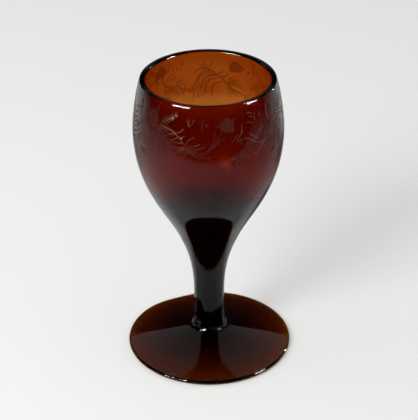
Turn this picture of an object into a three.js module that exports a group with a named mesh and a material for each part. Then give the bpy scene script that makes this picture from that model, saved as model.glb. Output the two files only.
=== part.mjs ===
// A small wine glass of deep amber-red glass, in the three pieces that are joined hot when it is made:
// a blown bowl, a solid stem drawn to a waist, and a conical foot with a ground hollow underneath.
// Millimetres, +Z up, origin on the table under the middle of the foot.
import * as THREE from "three";

// Heights of the three pieces, which stand on each other
const footHeight = 9.2;
const stemLength = 40.8;
const bowlHeight = 68;

// Joints between the pieces: the diameter of each, and how far its outline leans from the upright
const footJointDiameter = 13.2;
const footJointLean = 8;
const bowlJointDiameter = 23.1;
const bowlJointLean = 22.4;

// Bowl
const bowlDiameter = 57.7;
const bowlWidestBelowRim = 21.2;
const bowlWall = 2.15;
const bowlBaseThickness = 10;
const rimDiameter = 51.8;
const rimThickness = 2.3;
const rimLean = 16.2;

// Stem
const stemWaistDiameter = 12.1;
const stemWaistHeight = 13.8;

// Foot
const footDiameter = 65.6;
const footEdgeThickness = 2;
const footEdgeSlope = 12.5;
const footHubSlope = 16.5;
const footHubFillet = 1.05;
const footRingWidth = 3.2;
const footRingSlope = 5.5;
const footHollowHeight = 1.9;
const footHollowSlope = 4.5;
const groundHollowDiameter = 14;
const groundHollowDepth = 0.9;

// The foot was shaped by hand: its outline has one flatter stretch, towards the back and left
const footFlatAzimuth = 113;
const footFlatDepth = 1.2;
const footFlatSpread = 18;

// Fullness of each swept curve: how far it keeps the direction of its end, as a share of its chord
const stemFootPull = 0.25;
const stemWaistLowerPull = 0.52;
const stemWaistUpperPull = 0.57;
const stemBowlPull = 0.15;
const bowlBasePull = 0.256;
const bowlBellyPull = 0.458;
const bowlShoulderPull = 0.3;
const rimPull = 0.24;
const cavityMouthPull = 0.05;
const cavityShoulderPull = 0.42;
const cavityFloorPull = 0.42;
const footSurfacePull = 0.3;

// Facets
const facetsAround = 72;
const longCurveSteps = 12;
const shortCurveSteps = 6;
const edgeRoundSteps = 3;

// Directions of travel in a half section, where 0 points away from the axis and 90 points up
const outward = 0;
const up = 90;
const inward = 180;
const down = 270;

const radians = THREE.MathUtils.degToRad;

/** A point of a half section: its distance from the axis and its height. */
function at(radius, height) {
  return new THREE.Vector2(radius, height);
}

/** The point reached from another by going a length in a direction. */
function stepFrom(point, direction, length) {
  const angle = radians(direction);
  return at(point.x + length * Math.cos(angle), point.y + length * Math.sin(angle));
}

/** Points along an arc round a centre, from one direction to another. */
function arc(centre, radius, from, to, steps) {
  const clockwise = to < from;
  const curve = new THREE.EllipseCurve(
    centre.x, centre.y, radius, radius, radians(from), radians(to), clockwise,
  );
  return curve.getPoints(steps);
}

/** Points along a curve that leaves one end and reaches the other in given directions of travel. */
function swept(start, startDirection, startPull, end, endDirection, endPull, steps) {
  const chord = start.distanceTo(end);
  const curve = new THREE.CubicBezierCurve(
    start,
    stepFrom(start, startDirection, startPull * chord),
    stepFrom(end, endDirection, -endPull * chord),
    end,
  );
  return curve.getPoints(steps);
}

/** Joins stretches of outline into one half section, with each shared end point kept once. */
function halfSection(...stretches) {
  const samePoint = 1e-3;
  const points = [];
  for (const point of stretches.flat()) {
    const last = points.at(-1);
    if (!last || last.distanceTo(point) > samePoint) points.push(point);
  }
  return points;
}

/** A solid turned from a half section that starts and ends on the axis, standing along +Z. */
function turned(points) {
  return new THREE.LatheGeometry(points, facetsAround).rotateX(radians(up));
}

/** A named piece of glass of one colour. */
function glassPiece(name, geometry, colour, opacity) {
  const material = new THREE.MeshStandardMaterial({
    color: colour, roughness: 0.04, metalness: 0, transparent: opacity < 1, opacity,
  });
  const piece = new THREE.Mesh(geometry, material);
  piece.name = name;
  material.name = `${name} glass`;
  return piece;
}

/** The bowl: an egg-shaped blown wall with a rolled rim, growing into a thick solid base. */
function makeBowl() {
  const joint = at(bowlJointDiameter / 2, 0);
  const widestHeight = bowlHeight - bowlWidestBelowRim;
  const outerWidest = at(bowlDiameter / 2, widestHeight);
  const innerWidest = at(bowlDiameter / 2 - bowlWall, widestHeight);
  const cavityFloor = at(0, bowlBaseThickness);

  const rimRound = rimThickness / 2;
  const rimCentre = at(rimDiameter / 2 - rimRound, bowlHeight - rimRound);
  const rimOuter = stepFrom(rimCentre, rimLean, rimRound);
  const rimInner = stepFrom(rimCentre, rimLean, -rimRound);

  const section = halfSection(
    [at(0, 0)],
    swept(
      joint, up - bowlJointLean, bowlBasePull,
      outerWidest, up, bowlBellyPull, longCurveSteps,
    ),
    swept(
      outerWidest, up, bowlShoulderPull,
      rimOuter, up + rimLean, rimPull, shortCurveSteps,
    ),
    arc(rimCentre, rimRound, rimLean, up, edgeRoundSteps),
    arc(rimCentre, rimRound, up, inward + rimLean, edgeRoundSteps),
    swept(
      rimInner, down + rimLean, cavityMouthPull,
      innerWidest, down, cavityMouthPull, shortCurveSteps,
    ),
    swept(
      innerWidest, down, cavityShoulderPull,
      cavityFloor, inward, cavityFloorPull, longCurveSteps,
    ),
  );
  return glassPiece("bowl", turned(section), 0x5c1c0e, 0.85);
}

/** The stem: solid, waisted low down, and opening upwards into the outline of the bowl. */
function makeStem() {
  const footJoint = at(footJointDiameter / 2, 0);
  const waist = at(stemWaistDiameter / 2, stemWaistHeight);
  const bowlJoint = at(bowlJointDiameter / 2, stemLength);

  const section = halfSection(
    [at(0, 0)],
    swept(
      footJoint, up + footJointLean, stemFootPull,
      waist, up, stemWaistLowerPull, shortCurveSteps,
    ),
    swept(
      waist, up, stemWaistUpperPull,
      bowlJoint, up - bowlJointLean, stemBowlPull, longCurveSteps,
    ),
    [at(0, stemLength)],
  );
  return glassPiece("stem", turned(section), 0x1a0807, 1);
}

/** The hollow ground under the foot where the iron was broken off: a shallow cap of a sphere. */
function groundHollow() {
  const rimRadius = groundHollowDiameter / 2;
  const depth = groundHollowDepth;
  const sphereRadius = (rimRadius ** 2 + depth ** 2) / (2 * depth);
  const sphereCentre = at(0, footHollowHeight + depth - sphereRadius);
  const halfAngle = THREE.MathUtils.radToDeg(Math.asin(rimRadius / sphereRadius));
  return arc(sphereCentre, sphereRadius, up, up - halfAngle, shortCurveSteps);
}

/** Draws a turned foot in along its flatter stretch, fully at the edge and not at all at the hub. */
function flattenOutline(geometry) {
  const hubRadius = footJointDiameter / 2 + footHubFillet;
  const places = geometry.getAttribute("position");
  for (let i = 0; i < places.count; i += 1) {
    const x = places.getX(i);
    const y = places.getY(i);
    const radius = Math.hypot(x, y);
    const share = THREE.MathUtils.smoothstep(radius, hubRadius, footDiameter / 2);
    const azimuth = THREE.MathUtils.radToDeg(Math.atan2(y, x));
    const fromFlat = THREE.MathUtils.euclideanModulo(azimuth - footFlatAzimuth + 180, 360) - 180;
    const drawnIn = footFlatDepth * share * Math.exp(-((fromFlat / footFlatSpread) ** 2));
    const scale = radius > 0 ? 1 - drawnIn / radius : 1;
    places.setXY(i, x * scale, y * scale);
  }
  geometry.computeVertexNormals();
  return geometry;
}

/** The foot: a low cone with a rounded edge, resting on a ring, hollow underneath. */
function makeFoot() {
  const edgeRound = footEdgeThickness / 2;
  const edgeCentre = at(footDiameter / 2 - edgeRound, edgeRound);
  const edgeTop = stepFrom(edgeCentre, up - footEdgeSlope, edgeRound);
  const ringInner = at(edgeCentre.x - footRingWidth, 0);
  const hollowRim = at(groundHollowDiameter / 2, footHollowHeight);

  const joint = at(footJointDiameter / 2, footHeight);
  const filletCentre = stepFrom(joint, footJointLean, footHubFillet);
  const filletFoot = stepFrom(filletCentre, down - footHubSlope, footHubFillet);

  const section = halfSection(
    groundHollow(),
    swept(
      hollowRim, outward - footHollowSlope, footSurfacePull,
      ringInner, outward - footRingSlope, footSurfacePull, shortCurveSteps,
    ),
    arc(edgeCentre, edgeRound, down - 360, outward, edgeRoundSteps),
    arc(edgeCentre, edgeRound, outward, up - footEdgeSlope, edgeRoundSteps),
    swept(
      edgeTop, inward - footEdgeSlope, footSurfacePull,
      filletFoot, inward - footHubSlope, footSurfacePull, shortCurveSteps,
    ),
    arc(filletCentre, footHubFillet, down - footHubSlope, inward + footJointLean, shortCurveSteps),
    [at(0, footHeight)],
  );
  return glassPiece("foot", flattenOutline(turned(section)), 0x2e0c09, 0.95);
}

const stemSeat = new THREE.Group();
stemSeat.position.z = footHeight;
const bowlSeat = new THREE.Group();
bowlSeat.position.z = stemLength;

const glass = new THREE.Group();
glass.name = "stemmed glass";
glass.add(makeFoot(), stemSeat);
stemSeat.add(makeStem(), bowlSeat);
bowlSeat.add(makeBowl());

export default glass;
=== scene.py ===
"""A small stemmed wine glass of deep amber-red glass, seen in a plain pale studio.

The glass maker's three pieces, the blown bowl, the solid stem and the conical foot, are turned here as
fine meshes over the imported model, with the wheel engraving cut into the bowl's outer wall. Their sizes
are in millimetres until a mesh is built, and those of the studio are in metres. Directions are in
degrees, and an azimuth is measured round the glass from the side that faces the camera towards +X.
"""
import logging
import math
from collections.abc import Iterable, Sequence
from dataclasses import dataclass, field
from enum import Enum

import bpy
import numpy as np
from mathutils import Matrix, Vector


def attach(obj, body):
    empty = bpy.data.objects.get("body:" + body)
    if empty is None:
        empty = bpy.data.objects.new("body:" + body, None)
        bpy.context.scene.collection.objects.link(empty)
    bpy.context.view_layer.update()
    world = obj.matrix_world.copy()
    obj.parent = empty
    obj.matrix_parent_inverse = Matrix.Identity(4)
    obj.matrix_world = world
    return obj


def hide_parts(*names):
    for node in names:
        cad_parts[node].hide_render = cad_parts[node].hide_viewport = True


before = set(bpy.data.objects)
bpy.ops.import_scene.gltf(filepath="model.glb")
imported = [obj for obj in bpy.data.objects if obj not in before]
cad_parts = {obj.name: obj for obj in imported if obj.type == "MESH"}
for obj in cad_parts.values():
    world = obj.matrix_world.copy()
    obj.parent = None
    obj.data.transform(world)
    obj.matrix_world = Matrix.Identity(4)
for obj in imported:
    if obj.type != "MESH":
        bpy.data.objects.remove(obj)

LOG = logging.getLogger("stemmed_glass")
MM = 0.001
TINY = 1e-9

OUTWARD, UP, INWARD, DOWN = 0.0, 90.0, 180.0, 270.0
CURVE_POINTS = 600
ENGRAVED = "engraved"
GLASS_MIDDLE = Vector((0.0, 0.0, 0.06))

Point = tuple[float, float]
Range = tuple[float, float]
Place = tuple[float, float, float]
Colour = tuple[float, float, float]
SocketValue = "Socket | float | Sequence[float]"


# Half sections

def step_from(point: Point, direction: float, length: float) -> Point:
    """Returns the point reached from another by going a length in a direction."""
    angle = math.radians(direction)
    return point[0] + length * math.cos(angle), point[1] + length * math.sin(angle)


def arc(centre: Point, radius: float, start: float, end: float, steps: int) -> np.ndarray:
    """Gives points along an arc round a centre.

    Args:
        centre: Centre of the arc, as distance from the axis and height.
        radius: Radius of the arc.
        start: Direction from the centre to the first point.
        end: Direction from the centre to the last point.
        steps: Number of stretches between points.

    Returns:
        The points, one row each.
    """
    angles = np.radians(np.linspace(start, end, steps + 1))
    return np.column_stack((centre[0] + radius * np.cos(angles), centre[1] + radius * np.sin(angles)))


def swept(start: Point, start_direction: float, start_pull: float,
          end: Point, end_direction: float, end_pull: float, steps: int) -> np.ndarray:
    """Gives evenly spread points along a curve that keeps given directions of travel at its ends.

    Args:
        start: First point.
        start_direction: Direction in which the curve leaves the first point.
        start_pull: How far it keeps that direction, as a share of the chord.
        end: Last point.
        end_direction: Direction in which the curve reaches the last point.
        end_pull: How far it keeps that direction, as a share of the chord.
        steps: Number of stretches between points.

    Returns:
        The points, one row each.
    """
    chord = math.dist(start, end)
    handles = (start, step_from(start, start_direction, start_pull * chord),
               step_from(end, end_direction, -end_pull * chord), end)
    share = np.linspace(0.0, 1.0, CURVE_POINTS)[:, None]
    weights = ((1 - share) ** 3, 3 * share * (1 - share) ** 2, 3 * share ** 2 * (1 - share), share ** 3)
    curve = sum(weight * np.array(handle) for weight, handle in zip(weights, handles))
    return evenly_spread(curve, steps)


def evenly_spread(points: np.ndarray, steps: int) -> np.ndarray:
    """Spreads a number of points evenly along a line of points.

    Args:
        points: The line, one point to a row.
        steps: Number of stretches between the new points.

    Returns:
        The new points, which keep both ends.
    """
    lengths = np.concatenate(([0.0], np.cumsum(np.linalg.norm(np.diff(points, axis=0), axis=1))))
    places = np.linspace(0.0, lengths[-1], steps + 1)
    return np.column_stack([np.interp(places, lengths, points[:, axis]) for axis in (0, 1)])


def smooth_share(value: np.ndarray | float, low: float, high: float) -> np.ndarray | float:
    """Returns how far a value has gone from low to high, from 0 to 1, easing in and out."""
    share = np.clip((np.asarray(value) - low) / (high - low), 0.0, 1.0)
    return share * share * (3 - 2 * share)


def turned_from(azimuth: np.ndarray, middle: float) -> np.ndarray:
    """Returns how far azimuths lie from one of them, from -180 to 180 degrees."""
    return (azimuth - middle + 180.0) % 360.0 - 180.0


# Turned glass

@dataclass(frozen=True)
class WallSpot:
    """A place where the bowl's wall is thinner than round about, or thicker for a negative depth."""

    azimuth: float
    height: float
    depth: float
    azimuth_spread: float
    height_spread: float

    def thinned(self, azimuth: np.ndarray, height: float) -> np.ndarray:
        """Returns by how much the wall is thinned there, for the points of one ring.

        Args:
            azimuth: Azimuths of the ring's points.
            height: Height of the ring.

        Returns:
            The distance for each point.
        """
        aside = turned_from(azimuth, self.azimuth) / self.azimuth_spread
        above = (height - self.height) / self.height_spread
        return self.depth * np.exp(-aside ** 2 - above ** 2)


@dataclass(frozen=True)
class HandWork:
    """How far glass that is shaped by hand strays inwards from the turned outline.

    Slow waves run round every ring. The cavity is off the middle by a low shift towards the camera, which
    becomes a high shift to the back over a stretch of height, and its wall has a thin and a thick spot.
    """

    depth: float = 0.09
    wall_depth: float = 0.07
    waves: tuple[int, ...] = (2, 3, 5)
    twist: float = 0.12
    radius_share: float = 0.02
    low_shift: float = -0.12
    high_shift: float = 0.52
    shift_start: float = 84.0
    shift_end: float = 97.0
    spots: tuple[WallSpot, ...] = (
        WallSpot(azimuth=13.0, height=95.0, depth=1.1, azimuth_spread=4.8, height_spread=5.0),
        WallSpot(azimuth=181.0, height=100.0, depth=-0.6, azimuth_spread=17.0, height_spread=4.2))
    seed: int = 7

    def strays(self, azimuth: np.ndarray, height: float, depth: float, seed: int) -> np.ndarray:
        """Gives the inward strays of one ring.

        Args:
            azimuth: Azimuths of the ring's points.
            height: Height of the ring.
            depth: The most that a point may stray.
            seed: Choice of the waves.

        Returns:
            The strays, from 0 to the depth.
        """
        chance = np.random.default_rng(seed)
        total = np.zeros_like(azimuth)
        for turns in self.waves:
            lean, phase = chance.uniform(-self.twist, self.twist), chance.uniform(0.0, math.tau)
            total += np.cos(turns * np.radians(azimuth) + lean * height + phase)
        return depth * (0.5 + total / (2 * len(self.waves)))

    def outline(self, azimuth: np.ndarray, radius: float, height: float) -> np.ndarray:
        """Returns how far a ring's points stray inwards, which is less near the axis."""
        return np.minimum(self.strays(azimuth, height, self.depth, self.seed), self.radius_share * radius)

    def wall(self, azimuth: np.ndarray, height: float) -> np.ndarray:
        """Returns by how much a ring's wall is thinned from within.

        Args:
            azimuth: Azimuths of the ring's points.
            height: Height of the ring.

        Returns:
            The distance for each point.
        """
        risen = smooth_share(height, self.shift_start, self.shift_end)
        shift = self.low_shift + (self.high_shift - self.low_shift) * risen
        thinned = sum(spot.thinned(azimuth, height) for spot in self.spots)
        return (self.strays(azimuth, height, self.wall_depth, self.seed + 1) + thinned
                - shift * np.cos(np.radians(azimuth)))


class TurnedMesh:
    """Rings of points round the axis, from end to end of a half section, joined into a skin."""

    def __init__(self, name: str, hand: HandWork) -> None:
        """Starts an empty mesh.

        Args:
            name: Its name.
            hand: How the glass strays from the turned outline.
        """
        self.name = name
        self.hand = hand
        self.rings: list[np.ndarray] = []
        self.engraved: list[np.ndarray] = []
        self.creases: list[int] = []

    @staticmethod
    def azimuths(columns: int) -> np.ndarray:
        """Returns the azimuths of a ring's points, the first of them at the camera's side."""
        return np.arange(columns) * (360.0 / columns)

    def pole(self, height: float) -> None:
        """Adds the point where the half section meets the axis."""
        self.rings.append(np.array([[0.0, 0.0, height]]))
        self.engraved.append(np.zeros(1))

    def ring(self, radius: float, height: float, columns: int,
             inset: np.ndarray | float = 0.0, engraved: np.ndarray | float = 0.0) -> None:
        """Adds a ring of points.

        Args:
            radius: Distance of the half section from the axis.
            height: Height of the ring.
            columns: Number of points in it.
            inset: How far its points are drawn in towards the axis, besides the strays of hand work.
            engraved: How fully its points are engraved, from 0 to 1.
        """
        azimuth = self.azimuths(columns)
        reach = radius - self.hand.outline(azimuth, radius, height) - inset
        angle = np.radians(azimuth)
        self.rings.append(np.column_stack(
            (reach * np.sin(angle), -reach * np.cos(angle), np.full(columns, height))))
        self.engraved.append(np.broadcast_to(engraved, (columns,)).astype(float))

    def crease(self) -> None:
        """Keeps the edge along the last ring crisp."""
        self.creases.append(len(self.rings) - 1)

    @staticmethod
    def joined(low: np.ndarray, high: np.ndarray) -> list[list[int]]:
        """Joins two neighbouring rings with faces.

        Args:
            low: Numbers of the points of the first ring.
            high: Numbers of the points of the next ring, as many, half as many, twice as many or one.

        Returns:
            The faces, each a list of point numbers.
        """
        low_next, high_next = np.roll(low, -1), np.roll(high, -1)
        if len(low) == 1:
            pole = np.full(len(high), low[0])
            faces = [np.column_stack((pole, high_next, high))]
        elif len(high) == 1:
            pole = np.full(len(low), high[0])
            faces = [np.column_stack((low, low_next, pole))]
        elif len(low) == len(high):
            faces = [np.column_stack((low, low_next, high_next, high))]
        elif 2 * len(low) == len(high):
            first, middle, last = high[::2], high[1::2], np.roll(high, -2)[::2]
            faces = [np.column_stack((low, middle, first)), np.column_stack((low, low_next, middle)),
                     np.column_stack((low_next, last, middle))]
        else:
            first, middle, last = low[::2], low[1::2], np.roll(low, -2)[::2]
            faces = [np.column_stack((first, middle, high)), np.column_stack((middle, high_next, high)),
                     np.column_stack((middle, last, high_next))]
        return [face for group in faces for face in group.tolist()]

    def build(self) -> bpy.types.Object:
        """Makes the closed mesh object, in metres, with its engraved share as a point attribute.

        Returns:
            The object.
        """
        starts = np.cumsum([0] + [len(ring) for ring in self.rings])
        numbers = [np.arange(start, start + len(ring)) for start, ring in zip(starts, self.rings)]
        faces = [face for low, high in zip(numbers, numbers[1:]) for face in self.joined(low, high)]
        mesh = bpy.data.meshes.new(self.name)
        mesh.from_pydata((np.concatenate(self.rings) * MM).tolist(), [], faces)
        mesh.shade_smooth()
        self.mark_creases(mesh, numbers)
        share = mesh.attributes.new(ENGRAVED, "FLOAT", "POINT")
        share.data.foreach_set("value", np.concatenate(self.engraved).astype(np.float32))
        piece = bpy.data.objects.new(self.name, mesh)
        bpy.context.scene.collection.objects.link(piece)
        return piece

    def mark_creases(self, mesh: bpy.types.Mesh, numbers: list[np.ndarray]) -> None:
        """Marks the edges along the creased rings as sharp.

        Args:
            mesh: The mesh.
            numbers: Point numbers of each ring.
        """
        ring_of = np.full(len(mesh.vertices), -1)
        for ring in self.creases:
            ring_of[numbers[ring]] = ring
        ends = np.empty(2 * len(mesh.edges), dtype=np.int32)
        mesh.edges.foreach_get("vertices", ends)
        first, second = ring_of[ends[::2]], ring_of[ends[1::2]]
        mesh.edges.foreach_set("use_edge_sharp", (first >= 0) & (first == second))


# Engraving

class Taper(Enum):
    """How the width of a wheel cut changes along it."""

    STEM = "even, fading at the tip"
    LEAF = "pointed at both ends"
    DROP = "thin at the base and broad near the tip"

    def width(self, share: np.ndarray) -> np.ndarray:
        """Works out how wide the cut is at places from 0 at the base to 1 at the tip.

        Args:
            share: The places.

        Returns:
            The share of the full width at each of them.
        """
        if self is Taper.STEM:
            return 1.0 - 0.55 * share ** 2
        if self is Taper.LEAF:
            return 0.35 + 0.65 * np.sin(math.pi * np.clip(share, 0.02, 0.98)) ** 0.8
        return 0.4 + 0.6 * np.sin(0.5 * math.pi * share) ** 1.5


@dataclass(frozen=True)
class Cut:
    """One pass of the engraver's wheel along a line of (millimetres round the bowl, height)."""

    line: tuple[Point, ...]
    width: float = 0.45
    depth: float = 0.1
    taper: Taper = Taper.LEAF


@dataclass(frozen=True)
class Patch:
    """A field cut matt inside a closed outline."""

    outline: tuple[Point, ...]
    depth: float = 0.07
    matt: float = 0.8


def curved(line: Sequence[Point], steps: int = 5) -> np.ndarray:
    """Rounds a line of points into a smooth curve through them.

    Args:
        line: Two or more points.
        steps: Number of stretches between neighbouring points.

    Returns:
        The points of the curve, one row each.
    """
    points = np.array(line, dtype=float)
    before = np.vstack((2 * points[0] - points[1], points, 2 * points[-1] - points[-2]))
    share = np.linspace(0.0, 1.0, steps, endpoint=False)[:, None]
    stretches = []
    for p0, p1, p2, p3 in zip(before, before[1:], before[2:], before[3:]):
        stretches.append(0.5 * (2 * p1 + (p2 - p0) * share + (2 * p0 - 5 * p1 + 4 * p2 - p3) * share ** 2
                                + (3 * p1 - p0 - 3 * p2 + p3) * share ** 3))
    return np.vstack((*stretches, points[-1:]))


def nearest_on(start: np.ndarray, end: np.ndarray, places: np.ndarray,
               heights: np.ndarray) -> tuple[np.ndarray, np.ndarray]:
    """Finds the nearest place of a straight stretch for each point of a grid.

    Args:
        start: Start of the stretch.
        end: End of the stretch.
        places: Places of the grid's points round the bowl.
        heights: Their heights.

    Returns:
        How far along the stretch that place is, from 0 to 1, and how far away it is.
    """
    run = end - start
    along = ((places - start[0]) * run[0] + (heights - start[1]) * run[1]) / max(run @ run, TINY)
    along = np.clip(along, 0.0, 1.0)
    return along, np.hypot(places - start[0] - along * run[0], heights - start[1] - along * run[1])


@dataclass
class EngravedBand:
    """The grid of the bowl's outer wall that the engraving is cut into.

    A groove turns matt over a share of its half width, and a field slopes down and turns matt over a
    distance from its outline, which is negative outside it.
    """

    low: float
    high: float
    rows: int
    columns: int
    radius: float
    groove_edge: Range = (-0.1, 0.5)
    field_slope: Range = (-0.05, 0.3)
    field_edge: Range = (-0.1, 0.15)
    field_margin: float = 0.5
    depth: np.ndarray = field(init=False)
    matt: np.ndarray = field(init=False)
    heights: np.ndarray = field(init=False)
    around: float = field(init=False)

    def __post_init__(self) -> None:
        """Starts with an uncut band."""
        self.depth = np.zeros((self.rows, self.columns))
        self.matt = np.zeros((self.rows, self.columns))
        self.heights = np.linspace(self.low, self.high, self.rows)
        self.around = math.tau * self.radius

    def window(self, points: np.ndarray, margin: float) -> tuple[np.ndarray, ...]:
        """Finds the part of the grid near a line.

        Args:
            points: The line, in millimetres round the bowl and height.
            margin: Distance to take in round it.

        Returns:
            Row numbers, column numbers, and the places and heights of the grid points.
        """
        left, right = points[:, 0].min() - margin, points[:, 0].max() + margin
        bottom, top = points[:, 1].min() - margin, points[:, 1].max() + margin
        step = self.around / self.columns
        columns = np.arange(math.floor(left / step), math.ceil(right / step) + 1)
        rows = np.flatnonzero((self.heights >= bottom) & (self.heights <= top))
        places, heights = np.meshgrid(columns * step, self.heights[rows])
        return rows, columns % self.columns, places, heights

    def lower(self, rows: np.ndarray, columns: np.ndarray, depth: np.ndarray, matt: np.ndarray) -> None:
        """Deepens part of the grid to a new cut, where that is deeper than it was.

        Args:
            rows: Numbers of the rows.
            columns: Numbers of the columns.
            depth: Depth of the cut at each of their crossings.
            matt: How matt the cut is there.
        """
        if len(rows) == 0:
            return
        part = np.ix_(rows, columns)
        self.depth[part] = np.maximum(self.depth[part], depth)
        self.matt[part] = np.maximum(self.matt[part], matt)

    def cut(self, stroke: Cut) -> None:
        """Cuts one line, as a rounded groove that is matt to its edges.

        Args:
            stroke: The line.
        """
        line = curved(stroke.line)
        rows, columns, places, heights = self.window(line, stroke.width)
        shares = np.linspace(0.0, 1.0, len(line))
        inwards = np.full(places.shape, -np.inf)
        for start, end, low, high in zip(line, line[1:], shares, shares[1:]):
            along, away = nearest_on(start, end, places, heights)
            half = 0.5 * stroke.width * stroke.taper.width(low + along * (high - low))
            inwards = np.maximum(inwards, 1.0 - away / half)
        self.lower(rows, columns, stroke.depth * np.sqrt(np.clip(inwards, 0.0, 1.0)),
                   smooth_share(inwards, *self.groove_edge))

    def matt_field(self, patch: Patch) -> None:
        """Cuts a field, flat-bottomed inside its outline.

        Args:
            patch: The field.
        """
        outline = curved(patch.outline + patch.outline[:1], 4)
        rows, columns, places, heights = self.window(outline, self.field_margin)
        inside = np.zeros(places.shape, dtype=bool)
        away = np.full(places.shape, np.inf)
        for start, end in zip(outline, outline[1:]):
            run, rise = end[0] - start[0], end[1] - start[1]
            crosses = (start[1] > heights) != (end[1] > heights)
            reach = start[0] + (heights - start[1]) * run / (rise if abs(rise) > TINY else TINY)
            inside ^= crosses & (places < reach)
            away = np.minimum(away, nearest_on(start, end, places, heights)[1])
        inwards = np.where(inside, away, -away)
        self.lower(rows, columns, patch.depth * smooth_share(inwards, *self.field_slope),
                   patch.matt * smooth_share(inwards, *self.field_edge))


@dataclass
class Spray:
    """A length of the festoon, drawn from an origin on the bowl and stretched to its place.

    The leaflets of a frond leave a margin at its base and its tip, shrink towards the tip by a share of
    their length, and each runs a share of that length along the frond and a share to its side.
    """

    origin: float
    stretch: float
    chance: np.random.Generator
    boldness: float = 1.0
    cuts: list[Cut] = field(default_factory=list)
    patches: list[Patch] = field(default_factory=list)
    frond_stem: float = 0.36
    frond_margins: Range = (0.6, 0.4)
    frond_shrinking: float = 0.45
    frond_along: float = 0.72
    frond_aside: float = 0.7
    frond_bend: float = 0.1

    def place(self, point: Point, unsure: float = 0.07) -> Point:
        """Returns where a point of the drawing lands on the bowl, with a small slip of the hand."""
        slip = self.chance.normal(0.0, unsure, 2)
        return self.origin + self.stretch * point[0] + slip[0], point[1] + slip[1]

    def line(self, *points: Point, width: float = 0.45, taper: Taper = Taper.LEAF,
             depth: float = 0.1) -> None:
        """Cuts a line through points of the drawing.

        Args:
            points: The points.
            width: Its width, before the boldness of the spray.
            taper: Its form.
            depth: Its depth, before the boldness of the spray.
        """
        placed = tuple(self.place(point) for point in points)
        self.cuts.append(Cut(placed, width * self.boldness, depth * self.boldness, taper))

    def stem(self, *points: Point, width: float = 0.45) -> None:
        """Cuts a stem through points of the drawing."""
        self.line(*points, width=width, taper=Taper.STEM)

    def leaf(self, base: Point, tip: Point, bend: float = 0.12, width: float = 0.5,
             taper: Taper = Taper.LEAF) -> None:
        """Cuts a narrow leaf.

        Args:
            base: Where it grows.
            tip: Where it ends.
            bend: How far it bows to the left of its way, as a share of its length.
            width: Its width.
            taper: Its form.
        """
        middle = ((base[0] + tip[0]) / 2 - bend * (tip[1] - base[1]),
                  (base[1] + tip[1]) / 2 + bend * (tip[0] - base[0]))
        self.line(base, middle, tip, width=width, taper=taper)

    def matt_area(self, outline: Iterable[Point], matt: float = 0.8, unsure: float = 0.05) -> None:
        """Cuts a matt field inside an outline of the drawing."""
        placed = tuple(self.place(point, unsure) for point in outline)
        self.patches.append(Patch(placed, matt=min(1.0, matt * self.boldness)))

    def fan(self, base: Point, tips: Iterable[Point], bend: float = 0.12, width: float = 0.45) -> None:
        """Cuts leaves from one base to each of several tips.

        Args:
            base: Where they grow.
            tips: Where they end.
            bend: How far they bow, as a share of their length.
            width: Their width.
        """
        for tip in tips:
            self.leaf(base, tip, bend, width)

    def frond(self, base: Point, tip: Point, pairs: int, reach: float, width: float) -> None:
        """Cuts a fern frond.

        Args:
            base: Where it grows.
            tip: Where it ends.
            pairs: Number of pairs of leaflets.
            reach: Length of the longest leaflets.
            width: Width of the leaflets.
        """
        run = np.subtract(tip, base)
        length = float(np.hypot(*run))
        along, across = run / length, np.array((-run[1], run[0])) / length
        self.stem(base, tip, width=self.frond_stem)
        base_margin, tip_margin = self.frond_margins
        for pair in range(pairs):
            start = np.add(base, run * (pair + base_margin) / (pairs + tip_margin))
            size = reach * (1.0 - self.frond_shrinking * pair / pairs)
            for side in (-1, 1):
                end = start + size * (self.frond_along * along + self.frond_aside * side * across)
                self.leaf(tuple(start), tuple(end), self.frond_bend * side, width)

    def hatch(self, start: Point, end: Point, stroke: Point, count: int, width: float = 0.38) -> None:
        """Cuts a row of short parallel strokes.

        Args:
            start: Base of the first stroke.
            end: Base of the last.
            stroke: Run of each stroke.
            count: Number of strokes.
            width: Their width.
        """
        for share in np.linspace(0.0, 1.0, count):
            base = (start[0] + share * (end[0] - start[0]), start[1] + share * (end[1] - start[1]))
            self.leaf(base, (base[0] + stroke[0], base[1] + stroke[1]), bend=0.06, width=width)

    def curl(self, centre: Point, size: float = 0.75, tightening: float = 0.4, points: int = 9) -> None:
        """Cuts a small curl, one turn round a centre.

        Args:
            centre: Its centre.
            size: Its radius where it begins.
            tightening: How much smaller the radius is where it ends, as a share.
            points: Number of points along it.
        """
        line = []
        for share in np.linspace(0.0, 1.0, points):
            reach, angle = size * (1.0 - tightening * share), share * math.tau
            line.append((self.origin + self.stretch * (centre[0] + reach * math.cos(angle)),
                         centre[1] + reach * math.sin(angle)))
        self.cuts.append(Cut(tuple(line), width=0.36, depth=0.08, taper=Taper.STEM))

    def full_blossom(self, height: float) -> None:
        """Cuts a bell-shaped blossom in full: a matt cup with a notched lip and small side petals.

        Args:
            height: Height of its middle.
        """
        cup = ((-2.1, -0.6), (-1.5, -1.9), (-0.2, -2.5), (1.6, -2.9), (3.1, -2.8), (3.3, -1.2), (3.1, 0.6),
               (2.3, 1.0), (2.2, 2.2), (0.9, 2.6), (-0.6, 2.5), (-1.0, 1.3), (-2.0, 0.9))
        petals = (((-1.8, -0.4), (-3.3, 0.3)), ((-1.8, 0.4), (-2.0, 2.2)), ((2.5, 0.7), (3.9, 1.8)),
                  ((-1.9, -0.9), (-3.4, -0.6)), ((2.7, 0.2), (3.8, 1.0)))
        self.matt_area((x, height + rise) for x, rise in cup)
        for (x, rise), (tip_x, tip_rise) in petals:
            self.leaf((x, height + rise), (tip_x, height + tip_rise), bend=0.1, width=0.42)

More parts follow.
